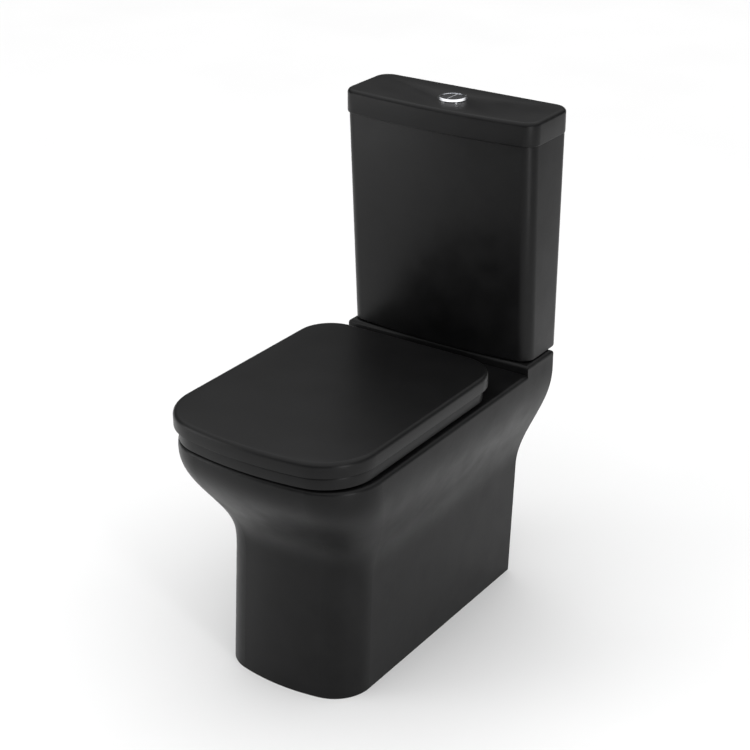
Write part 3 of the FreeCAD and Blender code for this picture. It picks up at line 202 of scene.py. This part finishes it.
def make_finishes():
    """One material for each slot of the record."""
    return {
        "black_ceramic": glaze(),
        "black_duroplast": duroplast(),
        "chrome": polished(
            "chrome_plate", (0.78, 0.79, 0.81), (0.70, 0.71, 0.74), rough=(0.05, 0.12), stretch=(1, 1, 1)
        ),
        "steel": polished(
            "stainless_steel", (0.56, 0.57, 0.59), (0.45, 0.46, 0.48), rough=(0.22, 0.38), stretch=(40, 1, 40)
        ),
        "brass": polished(
            "brass", (0.71, 0.52, 0.22), (0.58, 0.42, 0.18), rough=(0.20, 0.36), stretch=(1, 1, 40)
        ),
        "white_plastic": moulded(
            "white_acetal", (0.78, 0.79, 0.77), (0.72, 0.73, 0.71), rough=(0.32, 0.42), grain_size=0.001,
            glow=0.15,
        ),
        "blue_plastic": moulded(
            "blue_acetal", (0.03, 0.12, 0.42), (0.025, 0.10, 0.36), rough=(0.30, 0.40), grain_size=0.001
        ),
        "grey_plastic": moulded(
            "grey_acetal", (0.22, 0.225, 0.23), (0.19, 0.195, 0.20), rough=(0.36, 0.46), grain_size=0.001
        ),
        "black_rubber": moulded(
            "black_rubber", (0.018, 0.018, 0.018), (0.028, 0.028, 0.027), rough=(0.62, 0.78),
            grain_size=0.0007,
        ),
        "clear_rubber": moulded(
            "translucent_rubber", (0.62, 0.63, 0.63), (0.56, 0.57, 0.57), rough=(0.45, 0.55),
            grain_size=0.0009, glow=0.4,
        ),
    }


# ---------------------------------------------------------------------------------------
# Softened copies of cast and moulded pieces
# ---------------------------------------------------------------------------------------
WELD = 0.000005
FLAT_ANGLE = math.radians(0.4)
EDGE_ANGLE = math.radians(32)
SMOOTH_ANGLE = math.radians(40)
ROUNDING_STEPS = 3


def softened(node, body, material, radius):
    """A copy of a CAD node whose sharp edges are rounded, which stands for the node."""
    source = frame["nodes"][node]
    mesh = source.data.copy()
    mesh.name = f"{node}_soft"
    tidy = bmesh.new()
    tidy.from_mesh(mesh)
    bmesh.ops.remove_doubles(tidy, verts=tidy.verts, dist=WELD)
    bmesh.ops.dissolve_limit(tidy, angle_limit=FLAT_ANGLE, verts=tidy.verts, edges=tidy.edges)
    tidy.to_mesh(mesh)
    tidy.free()
    mesh.materials.clear()
    mesh.materials.append(material)
    piece = bpy.data.objects.new(f"{node}_finished", mesh)
    bpy.context.scene.collection.objects.link(piece)
    rounding = piece.modifiers.new("edge_rounding", "BEVEL")
    rounding.width = radius
    rounding.segments = ROUNDING_STEPS
    rounding.limit_method = "ANGLE"
    rounding.angle_limit = EDGE_ANGLE
    rounding.use_clamp_overlap = True
    shown = bpy.data.meshes.new_from_object(piece.evaluated_get(bpy.context.evaluated_depsgraph_get()))
    piece.modifiers.clear()
    piece.data = shown
    shown.polygons.foreach_set("use_smooth", [True] * len(shown.polygons))
    shown.set_sharp_from_angle(angle=SMOOTH_ANGLE)
    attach(piece, body)
    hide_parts(node)
    return piece


def body_of(node):
    """The name of the body that a node rides on."""
    groups = frame["record"]["behaviour"]["bodies"]
    return next(body for body, members in groups.items() if node in members)


# The radius of each softened piece's edges, in millimetres.
SOFT_EDGES = {
    "cistern_tank": 3.0,
    "cistern_lid": 1.8,
    "seat_ring": 2.0,
    "seat_lid": 1.6,
    "hinge_post_left": 1.2,
    "hinge_post_right": 1.2,
}


def finish_nodes(finishes):
    """Each CAD node gets its finish, and those in SOFT_EDGES get rounded edges."""
    for row in frame["record"]["subparts"]:
        node, slot = row["node"], row["material_slot"]
        if node in SOFT_EDGES:
            softened(node, body_of(node), finishes[slot], SOFT_EDGES[node] * MILLIMETRE)
        else:
            source = frame["nodes"][node]
            source.data.materials.clear()
            source.data.materials.append(finishes[slot])


# ---------------------------------------------------------------------------------------
# Studio
# ---------------------------------------------------------------------------------------
CAMERA_PLACE = Vector((1.469, -2.138, 1.673))
CAMERA_TURN = math.radians(34.1)
CAMERA_TILT = math.radians(25.2)
CAMERA_LENS = 86.3
SENSOR_WIDTH = 36.0
NEAR_LIMIT = 0.05
FLOOR_SIZE = 60.0
FLOOR_CLOUD = 0.6

# The sky's strength below one height and above another, as sines of the angle above the horizon.
DIM_SKY = 0.08
BRIGHT_SKY = 1.65
DIM_BELOW = 0.35
BRIGHT_ABOVE = 0.75


def make_camera():
    data = bpy.data.cameras.new("camera")
    data.lens = CAMERA_LENS
    data.sensor_width = SENSOR_WIDTH
    data.clip_start = NEAR_LIMIT
    camera = bpy.data.objects.new("camera", data)
    camera.location = CAMERA_PLACE
    camera.rotation_euler = (math.pi / 2 - CAMERA_TILT, 0, CAMERA_TURN)
    bpy.context.scene.collection.objects.link(camera)
    bpy.context.scene.camera = camera


def make_floor():
    mesh = bpy.data.meshes.new("floor")
    plane = bmesh.new()
    bmesh.ops.create_grid(plane, x_segments=1, y_segments=1, size=FLOOR_SIZE / 2)
    plane.to_mesh(mesh)
    plane.free()
    material, tree, shader, point = new_material("pale_floor")
    cloud = noise(tree, point, FLOOR_CLOUD, 2.0)
    pale = blend_colours(tree, between(tree, cloud, 0, 1), (0.86, 0.86, 0.86), (0.88, 0.88, 0.88))
    tree.links.new(pale, shader.inputs["Base Color"])
    set_all(shader, Roughness=0.7, Specular_IOR_Level=0.2)
    mesh.materials.append(material)
    floor = bpy.data.objects.new("floor", mesh)
    bpy.context.scene.collection.objects.link(floor)


def soft_light(name, place, aim, width, height, power):
    """A softbox that faces the point it is aimed at."""
    data = bpy.data.lights.new(name, "AREA")
    data.shape = "RECTANGLE"
    data.size = width
    data.size_y = height
    data.energy = power
    light = bpy.data.objects.new(name, data)
    light.location = place
    light.rotation_euler = (Vector(aim) - Vector(place)).to_track_quat("-Z", "Y").to_euler()
    bpy.context.scene.collection.objects.link(light)


def make_sky():
    """A studio that is dim at eye level and bright overhead, so that tops stay darker than fronts."""
    world = bpy.data.worlds.new("studio")
    bpy.context.scene.world = world
    world.use_nodes = True
    tree = world.node_tree
    direction = tree.nodes.new("ShaderNodeTexCoord")
    parts = tree.nodes.new("ShaderNodeSeparateXYZ")
    tree.links.new(direction.outputs["Generated"], parts.inputs["Vector"])
    level = between(tree, parts.outputs["Z"], DIM_SKY, BRIGHT_SKY, DIM_BELOW, BRIGHT_ABOVE)
    tree.links.new(level, tree.nodes["Background"].inputs["Strength"])
    tree.nodes["Background"].inputs["Color"].default_value = (1, 1, 1, 1)


def make_lights():
    low, high = CAD_BOX
    middle = (low + high) / 2
    soft_light("key_left", (-2.3, -2.0, 0.9), middle, width=1.4, height=1.6, power=24)
    soft_light("strip_right", (2.5, -1.2, 0.7), middle, width=0.35, height=1.4, power=20)
    make_sky()


def make_view():
    """Plain colours, so that the floor is white and the glaze stays black."""
    bpy.context.scene.view_settings.view_transform = "Standard"


make_camera()
make_floor()
make_lights()
make_view()
finish_nodes(make_finishes())
